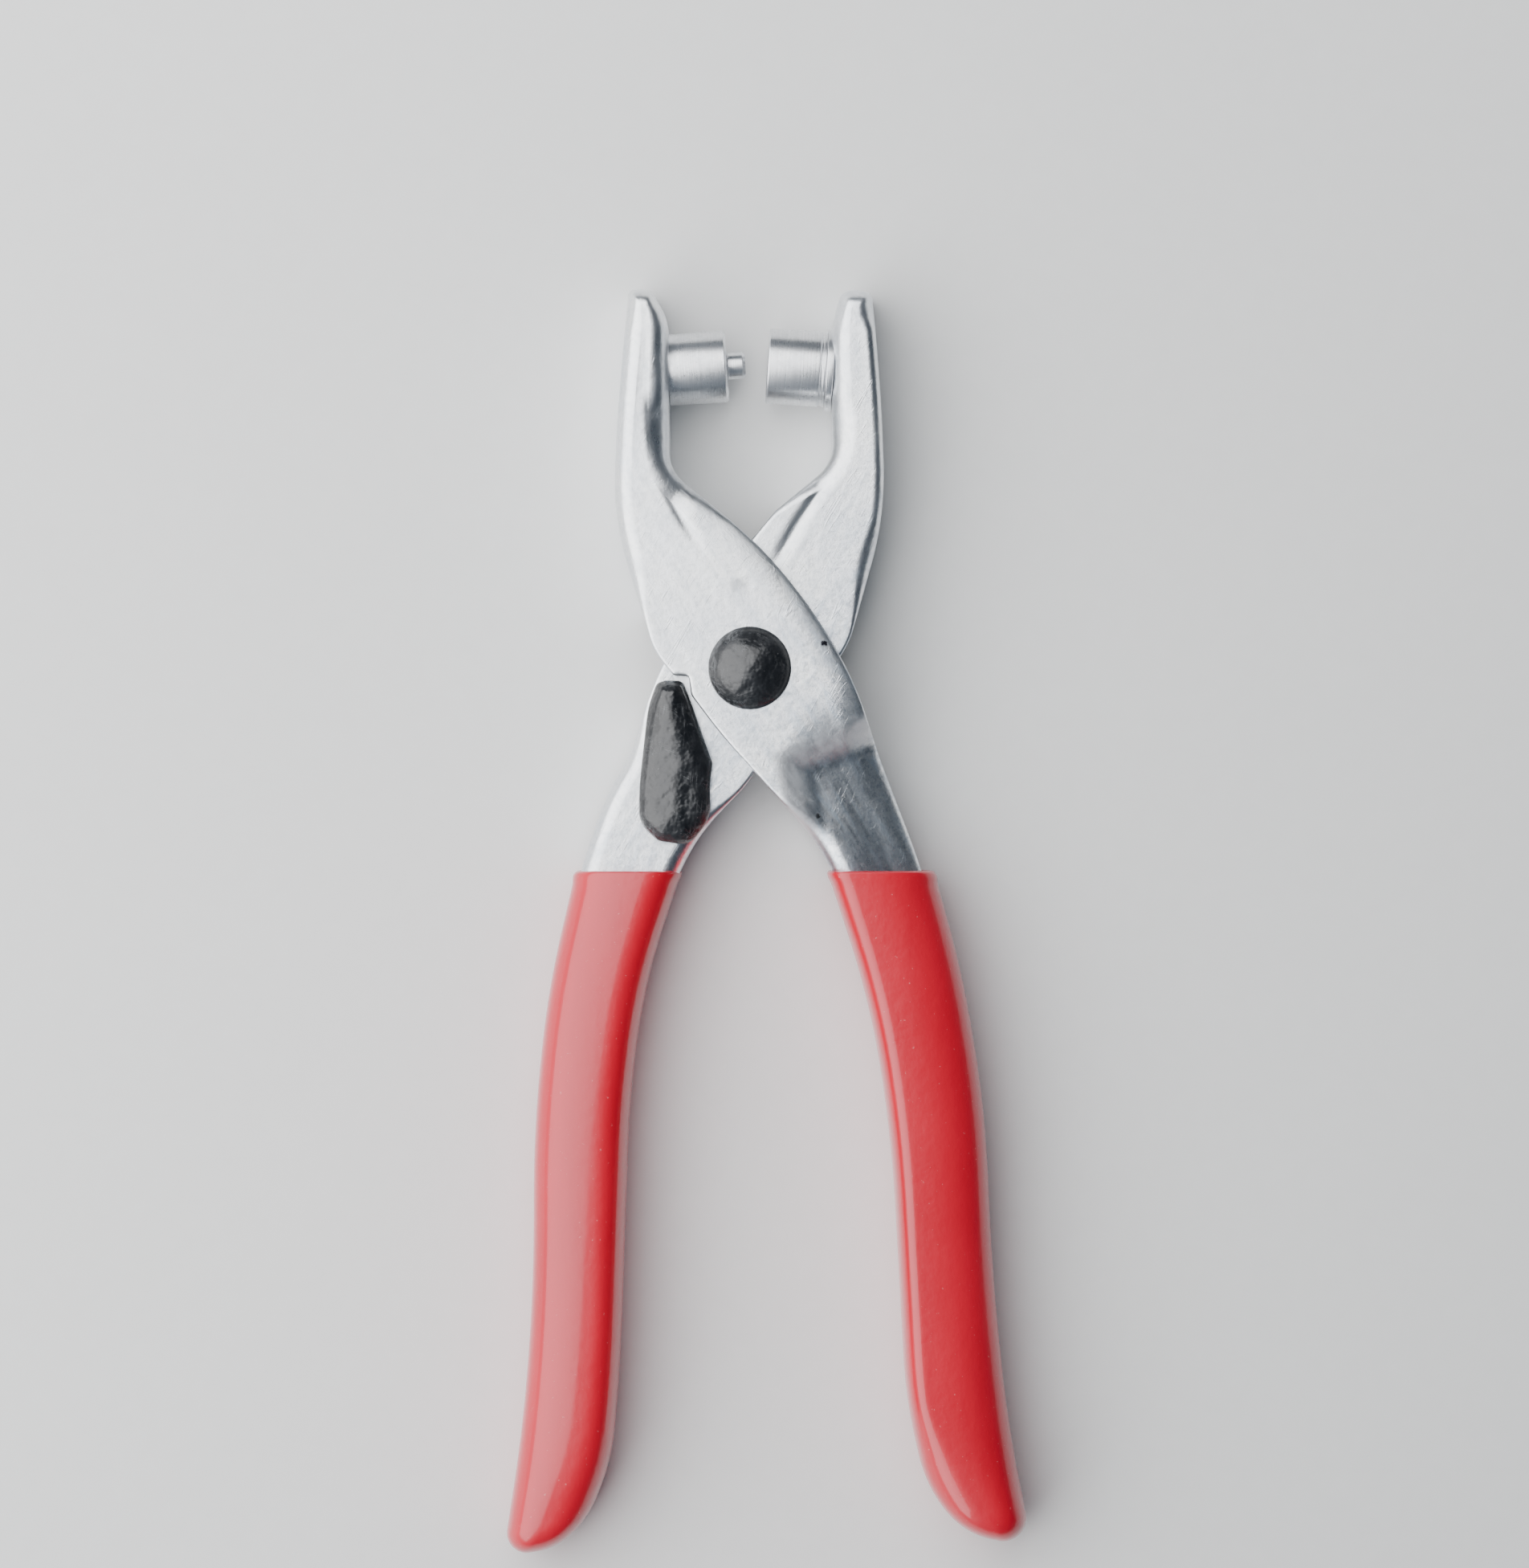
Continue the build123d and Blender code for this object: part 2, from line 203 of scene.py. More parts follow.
class Finish:
    """A material, or the studio round the tool, while its nodes are put together."""

    def __init__(self, owner):
        self.owner = owner
        owner.use_nodes = True
        self.tree = owner.node_tree
        self.tree.nodes.clear()

    def node(self, kind, settings=None, sockets=None, out=None):
        """A node of one kind: its settings first, then its sockets, by name or place, as values or links."""
        made = self.tree.nodes.new("ShaderNode" + kind)
        for name, setting in (settings or {}).items():
            if name == "stops":
                for place, value in setting[2:]:
                    made.color_ramp.elements.new(place)
                for stop, (place, value) in zip(made.color_ramp.elements, setting):
                    stop.position, stop.color = place, (value, value, value, 1)
            else:
                setattr(made, name, setting)
        usable = [socket for socket in made.inputs if socket.enabled]
        for key, value in (sockets or {}).items():
            socket = usable[key] if isinstance(key, int) else next(s for s in usable if s.name == key)
            if isinstance(value, Level):
                self.tree.links.new(value.socket, socket)
            elif hasattr(socket.default_value, "__len__") and len(socket.default_value) == 4:
                socket.default_value = (*value, 1)
            else:
                socket.default_value = value
        outlets = [socket for socket in made.outputs if socket.enabled and out in (None, socket.name)]
        return Level(self, outlets[0]) if outlets else None

    def place(self, stretch=(1, 1, 1), turn=0.0):
        """Where a point of the piece is, in millimetres, turned about Z and then stretched."""
        found = self.node("TexCoord", out="Object")
        turned = self.node("VectorRotate", {"rotation_type": "Z_AXIS"}, {"Vector": found, "Angle": turn})
        sizes = [1000 * s for s in stretch]
        return self.node("VectorMath", {"operation": "MULTIPLY"}, {0: turned, 1: sizes})

    def towards(self, place, direction):
        """How far a place lies along a direction."""
        return self.node("VectorMath", {"operation": "DOT_PRODUCT"}, {0: place, 1: direction}, out="Value")

    def mark(self, name, stretch=None):
        """A point attribute: a number, or a vector that is stretched."""
        if stretch is None:
            return self.node("Attribute", {"attribute_name": name}, out="Fac")
        found = self.node("Attribute", {"attribute_name": name}, out="Vector")
        return self.node("VectorMath", {"operation": "MULTIPLY"}, {0: found, 1: stretch})

    def noise(self, place, scale, detail=3.0, rough=0.5):
        """Cloudy noise from 0 to 1, scale features to a millimetre."""
        sockets = {"Vector": place, "Scale": scale, "Detail": detail, "Roughness": rough}
        return self.node("TexNoise", {}, sockets)

    def ramp(self, value, *stops):
        """The value read off a line through the stops (place, height)."""
        return self.node("ValToRGB", {"stops": stops}, {0: value})

    def mix(self, share, first, second):
        """One colour turning to another as share goes from 0 to 1."""
        return self.node("Mix", {"data_type": "RGBA"}, {"Factor": share, "A": first, "B": second})

    def hairlines(self, turn, length, fineness):
        """Fine scratches one way: the narrow middle band of stretched noise, broken up by a second noise."""
        drawn = self.noise(self.place((1 / length, 1, 1), turn), fineness, 2.0)
        broken = self.ramp(self.noise(self.place(), 0.35, 2.0), (0.5, 0), (0.62, 1))
        return self.ramp(drawn, (0.485, 0), (0.5, 1), (0.515, 0)) * broken

    def painted_step_highlight(self):
        """Near 1 on the slope where the front arm steps back, which is painted bright as a highlight and is
        matt, and
        0 off it. The ramp reads a tenth of the distance past both lines, made uneven by noise, plus 0.3."""
        past = [self.towards(self.place(), (*square(line), 0)) - line[0] @ square(line) for line in STEP]
        beyond = past[0].reckon("MINIMUM", *past) + 1.2 * self.noise(self.place(), 0.8, 3.0)
        return self.ramp(beyond * 0.1 + 0.3, (0.27, 0), (0.42, 0.85), (0.55, 0.85), (0.72, 0))

    def speck(self, x, y, radius):
        """A knock with an uneven edge: 1 within about the radius of a point of the plan, and 0 outside it.
        The ramp reads half of the distance in radii plus noise."""
        flat = self.node("VectorMath", {"operation": "MULTIPLY"}, {0: self.place(), 1: (1, 1, 0)})
        apart = self.node("VectorMath", {"operation": "DISTANCE"}, {0: flat, 1: (x, y, 0)}, out="Value")
        uneven = apart * (1 / radius) + 1.6 * self.noise(self.place(), 1.2 / radius, 2.0)
        return self.ramp(uneven * 0.5, (0.62, 1), (0.9, 0))

    def done(self, height, bump, **sockets):
        """The shader, with its bump, on the output."""
        sockets = {name.replace("_", " "): value for name, value in sockets.items()}
        relief_step = 0.05 * MM
        relief = {"Height": height, "Strength": bump, "Distance": relief_step}
        sockets["Normal"] = self.node("Bump", {}, relief)
        shader = self.node("BsdfPrincipled", {}, sockets)
        self.node("OutputMaterial", {}, {"Surface": shader})
        return self.owner


def zinc_plate(name):
    """Bright zinc: cool and warm clouds, fine grain, lengthwise streaks from the press, a few handling
    scratches and knocks. Towards the lower right its spots, streaks and grain are painted slate-blue as a
    dark reflection. Where the front arm steps back it is painted bright as a highlight, and matt. In the
    channel it is painted darker as shade, and rougher. It is dark where it was sheared."""
    finish = Finish(bpy.data.materials.new(name))
    clouds = finish.noise(finish.place(), 0.13, 3.0)
    grain = finish.noise(finish.place(), 1.5, 5.0, 0.75)
    spots = finish.noise(finish.place(), 0.75, 5.0, 0.65)
    streaks = finish.noise(finish.mark("run", (0.9, 0.13, 1)), 1.0, 4.0, 0.6)
    scratches = finish.hairlines(0.7, 16, 1.1) + finish.hairlines(2.1, 20, 0.9)
    cut = finish.mark("cut")
    inside = finish.mark("inside")
    step_highlight_mask = finish.painted_step_highlight()
    # painted reflection: towards the lower right the spots, streaks and grain are painted slate-blue,
    # standing in for the dark side of the room reflected in the steel
    lower_right_painted_reflection = finish.ramp(finish.towards(finish.place(), (0.8, -0.6, 0)) * 0.02 + 0.5, (0.40, 0.25), (0.72, 1))
    by_pivot, on_handle, smudge = (8.8, 2.9, 0.45), (8.1, -17.5, 0.35), (-1.2, 9.9, 1.3)
    knocks = finish.speck(*by_pivot) + finish.speck(*on_handle) + 0.3 * finish.speck(*smudge)
    plate = finish.mix(finish.ramp(clouds, (0.35, 0), (0.65, 1)), (0.88, 0.90, 0.93), (0.94, 0.95, 0.95))
    plate = finish.mix(finish.ramp(spots, (0.50, 0), (0.72, 0.55)) * lower_right_painted_reflection, plate, (0.58, 0.63, 0.70))
    plate = finish.mix(finish.ramp(streaks, (0.46, 0), (0.70, 0.6)) * lower_right_painted_reflection, plate, (0.36, 0.48, 0.60))
    plate = finish.mix(finish.ramp(grain, (0.46, 0), (0.68, 0.8)) * lower_right_painted_reflection, plate, (0.40, 0.45, 0.51))
    # painted shade: the inside of the channel is painted darker, as shade in a recess
    plate = finish.mix(inside * 0.55, plate, (0.50, 0.53, 0.56))
    plate = finish.mix(cut * 0.7, plate, (0.42, 0.46, 0.50))
    plate = finish.mix(knocks, plate, (0.03, 0.03, 0.04))
    # painted highlight: the slope of the step is painted near white
    plate = finish.mix(step_highlight_mask, plate, (0.97, 0.98, 1.0))
    worn = finish.ramp(streaks, (0.38, 0), (0.70, 1))
    roughness = 0.21 + 0.16 * spots + 0.12 * worn + 0.14 * cut + 0.12 * inside + 0.22 * step_highlight_mask
    height = 1.0 * grain + 0.9 * streaks + 1.2 * scratches + 3.0 * spots
    return finish.done(height, 0.22, Base_Color=plate, Metallic=1.0, Roughness=roughness)


def pressed_half(edge, middle, sign, level, walled, wall_end, bend, drop, crown, ridge, dish):
    """One side of a channel, from the middle of the web's front out to the edge, down the wall and back
    under. Columns follow the edge. Rows run straight across the web to the bend, round a quarter of an
    ellipse (bend wide, drop high), down the wall, round its free edge and back inside, one sheet in. The web
    leans: to the right of its ridge it falls by crown times (the length of (distance, soft), less soft), and
    its bend carries that lean on. sign is 1 on the left side and -1 on the right."""
    soft = 0.1
    along = np.gradient(edge, axis=0)
    straight_in = unit(np.stack([-along[:, 1], along[:, 0]], axis=1) * sign)
    to_middle = middle - edge
    width = np.linalg.norm(to_middle, axis=1)
    ends = np.minimum(np.arange(len(edge)), np.arange(len(edge))[::-1])
    fan = (1 - ease(ends, 18, 34))[:, None]
    inward = unit(straight_in * (1 - fan) + unit(to_middle) * fan)
    bend = np.minimum(bend, 0.8 * width)
    edge_round = 0.25
    walked = np.concatenate([[0], np.cumsum(np.linalg.norm(np.diff(middle, axis=0), axis=1))])

    def height(points):
        share = 0.5 - 0.5 * sign * np.linalg.norm(points - middle, axis=1) / width
        dished = dish * ease(points[:, 1], 24, 33) * (1 - ease(points[:, 1], 36, 42)) * (share - 0.5) ** 2
        fallen = crown * (np.hypot(np.maximum(share - ridge, 0), soft) - soft)
        return level(points) - fallen + dished

    rows = []

    def row(points, z, cut=0.0, inside=0.0):
        across = np.linalg.norm(points - middle, axis=1) * sign
        marks = [np.broadcast_to(value, len(edge)) for value in (cut, inside, across, walked, z)]
        rows.append((np.column_stack([points, z]), np.stack(marks, axis=1)))

    bend_start = edge + inward * bend[:, None]
    near_bend = 0.9
    for share in np.append(np.linspace(0, near_bend, 14), [0.96, 1.0]):
        points = middle + (bend_start - middle) * share
        row(points, height(points))
    shoulder = height(bend_start)
    near = height(middle + (bend_start - middle) * near_bend)
    lean = np.maximum(near - shoulder, 0) / ((1 - near_bend) * np.linalg.norm(bend_start - middle, axis=1))
    lean_drop = np.minimum(lean * bend, 0.85 * drop)
    for angle in np.linspace(0, math.pi / 2, 11)[1:]:
        points = edge + inward * (bend * (1 - math.sin(angle)))[:, None]
        z = shoulder - lean_drop * math.sin(angle) - (drop - lean_drop) * (1 - math.cos(angle))
        row(points, z, cut=0.5 * (1 - walled) * math.sin(angle) ** 4)
    web_back = shoulder - SHEET
    low = web_back + (wall_end - web_back) * walled
    side_top = shoulder - drop
    side_low = low + edge_round
    for share in (0.04, 0.35, 0.7, 0.97, 1.0):
        z = side_top + np.minimum(side_low - side_top, 0) * share
        row(edge, z, cut=np.maximum(1 - walled, ease(share, 0.9, 1.0)))
    inside = edge_round + (SHEET - edge_round) * walled
    for angle in np.linspace(0, math.pi / 2, 4)[1:]:
        points = edge + inward * (edge_round * (1 - math.cos(angle)))
        row(points, low + edge_round * (1 - math.sin(angle)), cut=1.0)
    row(edge + inward * np.maximum(inside - edge_round, edge_round)[:, None], low, cut=1.0)
    row(edge + inward * inside[:, None], low + edge_round * walled, cut=1.0, inside=1.0)
    inner_round = 0.6 * walled
    for share in (0.05, 0.5, 1.0):
        top = web_back - inner_round
        start = low + edge_round * walled
        row(edge + inward * inside[:, None], start + np.maximum(top - start, 0) * share, inside=1.0)
    for angle in np.linspace(0, math.pi / 2, 4)[1:]:
        points = edge + inward * (inside + inner_round * (1 - math.cos(angle)))[:, None]
        row(points, web_back - inner_round * (1 - math.sin(angle)), inside=1.0)
    inner_start = edge + inward * (inside + inner_round)[:, None]
    for share in np.append([0.97], np.linspace(0.85, 0, 8)):
        points = middle + (inner_start - middle) * share
        row(points, height(points) - SHEET, inside=1.0)
    marks = np.stack([values for points, values in rows])
    named = {"cut": marks[..., 0], "inside": marks[..., 1], "run": marks[..., 2:]}
    return np.stack([points for points, values in rows]), named


def pressed_arm(left, right, level, left_walls, right_walls, edge_band, fall, dish):
    """Both halves of a channel, meeting down the middle and at the two ends. Towards the handle the web falls
    to the right of its ridge, and in the jaw it may be dished. left_walls and right_walls give the heights
    where that side's wall stops below the jaw and starts again on the handle. edge_band widens the bend down
    the right of the handle."""
    jaw, jaw_tip, band_end = (10, 20), (39.5, 43.5), (80, 90)
    lean_start, lean_end, ridge_shift = (1.5, 11), (0, 14), (-15, -3)
    stations = [(41, 26), (24, 46), (5, 62), (-12, 70), (-24, 44), (-60, 30), (-94, 26), (-100, 24)]
    left, right = side(route(left), stations), side(route(right), stations)
    middle = middle_line(left, right, (2.6, 4.0))
    jaw_on_right = left[0, 0] > 0
    halves = []
    for edge, walls, sign in ((left, left_walls, 1), (right, right_walls, -1)):
        y = edge[:, 1]
        jaw_end, handle_start = walls
        walled = ease(y, jaw_end - 0.6, jaw_end + 1.2) + ease(-y, -handle_start - 0.6, -handle_start + 1.2)
        wall_end = np.where(y > 0, WALL_END_JAW, WALL_END_HANDLE)
        band = (edge_band if sign < 0 else 0.0) * (1 - ease(-y, *band_end))
        bent = ease(y, jaw_end - 1.5, jaw_end + 9) + ease(-y, -handle_start - 1.5, -handle_start + 7)
        tip = ease(y, *jaw_tip)
        in_jaw = ease(y, *jaw) * (1 - tip)
        inner = in_jaw * ((sign > 0) == jaw_on_right)
        outer = in_jaw * (sign < 0 and jaw_on_right)
        wide_bend = 2.0 + 0.6 * inner - 0.8 * outer + 0.4 * tip + 1.5 * band * (y < 0)
        high_bend = 2.1 + 0.4 * inner - 0.7 * outer + 1.2 * tip
        bend = (0.4 + 2.6 * band) * (1 - bent) + wide_bend * bent
        drop = (0.35 + 0.4 * band) * (1 - bent) + high_bend * bent
        to_end = np.linalg.norm(middle - middle[-1], axis=1)
        crown = fall * ease(-middle[:, 1], *lean_start) * ease(to_end, *lean_end)
        ridge = 0.13 + 0.5 * ease(middle[:, 1], *ridge_shift)
        shape = (walled, wall_end, bend, drop, crown, ridge, dish)
        halves.append(pressed_half(edge, middle, sign, level, *shape))
    return halves


def crease(points, line, depth, width):
    """A pressed line in the web: depth times exp(-(distance / width) squared), faded at its two ends."""
    fade_in, fade_out = 3.0, 5.0
    line = route(line)
    starts, steps = line[:-1], np.diff(line, axis=0)
    lengths = np.linalg.norm(steps, axis=1)
    walked = np.concatenate([[0], np.cumsum(lengths)])
    offsets = points[:, None] - starts
    share = np.clip((offsets * steps).sum(axis=2) / np.maximum(lengths, 1e-9) ** 2, 0, 1)
    apart = np.linalg.norm(offsets - share[..., None] * steps, axis=2)
    nearest = apart.argmin(axis=1)
    rows = np.arange(len(points))
    run = walked[nearest] + share[rows, nearest] * lengths[nearest]
    faded = ease(run, 0, fade_in) * (1 - ease(run, walked[-1] - fade_out, walked[-1]))
    return depth * faded * np.exp(-(apart[rows, nearest] / width) ** 2)


def rear_level(points):
    """The rear arm's web is flat, but for the crease that carries the inner wall's bend towards the pivot."""
    line = [(11.5, 32.0), (11.6, 25.4), (6.3, 18.3), (2.4, 11.2)]
    return REAR_LEVEL - crease(points, line, depth=0.30, width=0.55)


def front_level(points):
    """The front arm's web falls one sheet along a slanting line below the pivot, and later in the crotch."""
    beyond = np.min([(points - line[0]) @ square(line) for line in STEP], axis=0)
    line = [(-11.9, 33.0), (-11.6, 25.0), (-8.6, 18.4), (-5.2, 13.4)]
    slope = (-0.3, 4.4)
    fall = (FRONT_LEVEL - REAR_LEVEL) * ease(beyond, *slope)
    return FRONT_LEVEL - fall - crease(points, line, depth=0.22, width=0.5)


rear_left = [
    (13.1, 45.0), (10.9, 44.9, 1.6), (9.75, 40.6), (9.85, 24.4, 5), (3.0, 18.6, 1.0), (-0.6, 14.2),
    (-7.7, 5.5), (-11.8, -2.5), (-13.9, -9.9), (-17.0, -15.0), (-20.2, -24.0), (-22.8, -37.0), (-24.3, -52.0),
    (-24.5, -72.0), (-25.4, -90.0), (-25.9, -98.6, 2.6), (-24.0, -99.5),
]
rear_right = [
    (13.1, 45.0), (14.55, 44.8, 1.2), (15.75, 30.0), (16.05, 18.0), (11.5, 1.9), (7.3, -2.3, 1.5),
    (2.9, -8.0), (0.4, -13.0), (-5.6, -19.2), (-8.5, -24.3), (-12.7, -37.0), (-15.4, -49.0), (-16.2, -64.0),
    (-16.7, -80.0), (-18.2, -92.5), (-22.0, -99.2, 3.5), (-24.0, -99.5),
]
front_left = [
    (-13.1, 45.0), (-14.4, 44.8, 1.2), (-15.8, 28.5), (-16.1, 17.6), (-11.3, 1.9), (-9.0, -0.84, 0.3),
    (-7.2, -0.95, 0.3), (-6.9, -3.2, 1.2), (-3.3, -8.0), (7.3, -19.7), (9.8, -24.0), (13.9, -35.0),
    (17.6, -52.0), (18.9, -66.0), (19.5, -82.0), (21.6, -93.0), (25.4, -98.6, 3.5), (27.8, -99.0),
]
front_right = [
    (-13.1, 45.0), (-11.6, 44.9, 1.4), (-9.65, 41.2, 6), (-9.5, 23.4, 5), (1.2, 14.6), (7.5, 6.9),
    (12.4, -1.5), (15.2, -10.0), (20.6, -24.0), (24.2, -36.5), (26.8, -52.0), (28.0, -75.0),
    (29.3, -90.0), (30.1, -98.6, 2.4), (27.8, -99.0),
]
plated = zinc_plate("bright_zinc_plate")
rear_halves = pressed_arm(rear_left, rear_right, rear_level, (18.3, -5.0), (5.2, -15.6),
                          edge_band=0.0, fall=0.0, dish=0.0)
front_halves = pressed_arm(front_left, front_right, front_level, (5.2, -15.4), (17.4, -5.0),
                           edge_band=1.0, fall=3.6, dish=1.8)
make_piece("rear_arm_pressing", rear_halves, "rear_arm", ["rear_arm"], plated)
make_piece("front_arm_pressing", front_halves, "front_arm", ["front_arm"], plated)


# --- The anvil die, its washer, the punch die and its guide pin -------------------------------------------
# Two bushes turned from bright steel bar, each with a thinner tail that is pressed through its jaw's inner
# wall and riveted. The punch has a groove that curls the eyelet, and a chamfered pin. The anvil is dished,
# and bored for that pin.

CLOSING_ANGLE = 7.5
DIE_REACH = 36.3
DIE_HEIGHT = 2.0


def turned_steel(name, colour, roughness):
    """Bright turned steel: tool marks run round it, finer ones between them, with oil stains and pits."""
    finish = Finish(bpy.data.materials.new(name))
    rings = finish.noise(finish.mark("turned", (5.0, 5.0, 0)), 1.0, 4.0, 0.7)
    feed = finish.noise(finish.mark("turned", (16.0, 16.0, 0)), 1.0, 1.0)
    stains = finish.noise(finish.place(), 0.7, 4.0, 0.6)
    pits = finish.ramp(finish.noise(finish.place(), 4.5, 2.0), (0.66, 0), (0.74, 1))
    steel = finish.mix(finish.ramp(rings, (0.35, 0), (0.7, 0.6)), colour, [0.72 * c for c in colour])
    steel = finish.mix(finish.ramp(stains, (0.5, 0), (0.8, 0.5)), steel, (0.47, 0.50, 0.53))
    steel = finish.mix(pits * 0.5, steel, (0.16, 0.16, 0.17))
    uneven = roughness + 0.14 * rings + 0.12 * stains
    height = 1.3 * rings + 0.6 * feed - 0.6 * pits
    return finish.done(height, 0.22, Base_Color=steel, Metallic=1.0, Roughness=uneven)


def lathe(profile, foot, axis, columns=80, arc_points=7):
    """A profile carried round an axis. The point (along, radius) goes to the foot of the axis, plus along
    times the axis, plus radius times a unit vector that turns through a full circle."""
    section = route(profile, arc_points)
    axis = np.array(axis, float)
    across = unit(np.cross(axis, (0, 0, 1) if abs(axis[2]) < 0.5 else (0, 1, 0)))
    angle = np.linspace(0, 2 * math.pi, columns + 1)
    spoke = np.cos(angle)[:, None] * across + np.sin(angle)[:, None] * np.cross(axis, across)
    grid = np.array(foot) + section[:, None, :1] * axis + section[:, None, 1:] * spoke
    marks = np.zeros(grid.shape)
    marks[..., :2] = section[:, None]
    return grid, {"turned": marks}


def die_axis(lean):
    """The foot and the direction of a die's axis. At rest each leans half the closing angle: lean is 1 on the
    left and -1 on the right."""
    angle = math.radians(lean * CLOSING_ANGLE / 2)
    foot = (-DIE_REACH * math.sin(angle), DIE_REACH * math.cos(angle), DIE_HEIGHT)
    return foot, (math.cos(angle), math.sin(angle), 0)


bright_bar = turned_steel("turned_bright_steel", (0.86, 0.87, 0.89), 0.16)
anvil = [
    (3.14, 0), (3.14, 1.75, 0.1), (0.24, 1.75, 0.12), (0.24, 3.2, 0.2), (-0.26, 3.65, 0.12),
    (-0.26, 4.5, 0.28), (6.0, 4.5, 0.2), (6.12, 4.36, 0.1), (6.32, 4.36, 0.1), (6.44, 4.5, 0.12),
    (6.75, 4.5, 0.1), (6.75, 2.2, 0.1), (9.55, 2.2, 0.25), (9.7, 1.9, 0.2), (9.7, 0),
]
make_piece("anvil_bush", [lathe(anvil, *die_axis(-1))],
           "rear_arm", ["anvil_die"], bright_bar, 30)
washer = [(6.78, 2.1), (6.78, 4.95, 0.12), (7.62, 4.95, 0.12), (7.62, 2.1), (6.78, 2.1)]
make_piece("anvil_backing_washer", [lathe(washer, *die_axis(-1))],
           "rear_arm", ["anvil_washer"], bright_bar, 30)
punch = [
    (-9.7, 0), (-9.7, 1.9, 0.2), (-9.55, 2.2, 0.25), (-7.4, 2.2, 0.1), (-7.4, 4.25, 0.15), (-0.62, 4.3, 0.1),
    (-0.35, 4.02, 0.1), (-0.35, 3.1, 0.12), (-0.85, 2.75, 0.3), (-0.85, 2.05, 0.3), (-0.35, 1.72, 0.1),
    (-0.35, 1.1), (-3.3, 1.1), (-3.3, 0),
]
make_piece("punch_bush", [lathe(punch, *die_axis(1))],
           "front_arm", ["punch_die"], bright_bar, 30)
guide = [
    (-3.35, 0), (-3.35, 1.15), (-0.33, 1.15), (-0.33, 1.5, 0.05), (-0.2, 1.6, 0.05), (1.5, 1.6, 0.15),
    (1.85, 1.25, 0.15), (1.85, 0),
]
make_piece("punch_guide_pin", [lathe(guide, *die_axis(1), 56)],
           "front_arm", ["punch_pin"], bright_bar, 30)


# --- The two dipped grips --------------------------------------------------------------------------------
# Red vinyl, put on by dipping each handle hot into liquid plastisol up to the dip line. It sets to a glossy
# sleeve that is rounder than the steel inside it, and its front leans outwards with the handle.

DIP_LINE = -24.0
GRIP_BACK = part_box("left_grip")[0].z / MM
GRIP_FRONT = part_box("left_grip")[1].z / MM
VINYL = 1.75                    # how deep the sleeve's inner skin lies, just inside the steel
LIP = 0.45


def red_vinyl(name):
    """Glossy dipped vinyl: soft orange peel, faint runs down its length, slight clouding and dust."""
    finish = Finish(bpy.data.materials.new(name))
    peel = finish.noise(finish.place(), 0.75, 2.0)
    fine = finish.noise(finish.place(), 3.2, 2.0)
    runs = finish.noise(finish.place((1, 0.08, 1)), 0.30, 3.0)
    clouds = finish.noise(finish.place(), 0.07, 3.0)
    dust = finish.ramp(finish.noise(finish.place(), 2.3, 2.0, 0.6), (0.70, 0), (0.76, 1))
    vinyl = finish.mix(finish.ramp(clouds, (0.3, 0), (0.7, 1)), (0.58, 0.0016, 0.020), (0.64, 0.003, 0.024))
    vinyl = finish.mix(finish.ramp(runs, (0.5, 0), (0.75, 0.35)), vinyl, (0.49, 0.0015, 0.017))
    vinyl = finish.mix(dust * 0.35, vinyl, (0.85, 0.35, 0.33))
    roughness = 0.24 + 0.10 * fine + 0.10 * clouds + 0.2 * dust
    height = 3.0 * peel + 0.5 * fine + 2.5 * runs
    return finish.done(height, 0.30, Base_Color=vinyl, Roughness=roughness, Specular_IOR_Level=0.5,
                       Coat_Weight=0.7, Coat_Roughness=0.10)


def sleeve_half(edge, middle, sign, ridge):
    """One side of a dipped sleeve, from the middle of its front round to the middle of its back. Across the
    front, a share x from -1 to 1 has height (1 - |x from the ridge, over the room there| ** n) ** (1 / n).
    The back is the same about the middle. The outer skin rolls over the lip, with a bead just below it, and
    an inner skin goes back down and closes. sign is -1 on the left side and 1 on the right."""
    front_power, back_power = 2.7, 3.6
    bead_height, bead_width, bead_below = 0.16, 0.6, 0.7
    sleeve_depth, past_middle = 20, 99.0
    centre = (GRIP_FRONT + GRIP_BACK) / 2
    half = (GRIP_FRONT - GRIP_BACK) / 2
    turn = np.linspace(0, math.pi / 2, 26)
    share = np.append(np.sin(turn), np.sin(turn[::-1])[1:])[:, None]
    to_tip = np.linalg.norm(middle - middle[-1], axis=1)
    ridge = ridge * ease(to_tip, 0, 14)
    at = sign * share
    room = np.where(at < ridge, 1 + ridge, 1 - ridge)
    front = np.maximum(1 - (np.abs(at - ridge) / room) ** front_power, 0) ** (1 / front_power)
    back = -(1 - share ** back_power) ** (1 / back_power)
    shape = np.where(np.arange(len(share))[:, None] < len(turn), front, back)
    width = np.linalg.norm(edge - middle, axis=1)
    y = edge[:, 1]
    into_lip = np.clip((y - DIP_LINE + LIP) / LIP, 0, 1)
    bead = bead_height * np.exp(-((DIP_LINE - bead_below - y) / bead_width) ** 2)
    outer_inset = LIP * (1 - np.sqrt(1 - into_lip ** 2)) - bead
    inner_columns = np.arange(np.argmax(y < DIP_LINE - sleeve_depth), -1, -1)
    columns = np.concatenate([inner_columns[:1], inner_columns, np.arange(len(edge))])
    inset = np.concatenate([[past_middle], np.full(len(inner_columns), VINYL), outer_inset])
    kept = np.maximum(1 - inset / width[columns], 0)
    points = middle[columns] + (edge - middle)[columns] * share[..., None] * kept[:, None]
    z = centre + shape[:, columns] * np.clip(half - inset, 0, half)
    return np.concatenate([points, z[..., None]], axis=2), {}


def dipped_sleeve(outline, ridge):
    """Both halves of a sleeve. Its outline runs down the left side, round the tip and up the right side."""
    stations = [(-24.6, 12), (-26.5, 10), (-44, 30), (-94, 60), (-101, 24), (-106, 34)]
    path = route(outline, 40)
    tip = path[:, 1].argmin()
    left, right = side(path[:tip + 1], stations), side(path[:tip - 1:-1], stations)
    middle = middle_line(left, right, (-1, 4.6))
    return [sleeve_half(left, middle, -1, ridge), sleeve_half(right, middle, 1, ridge)]


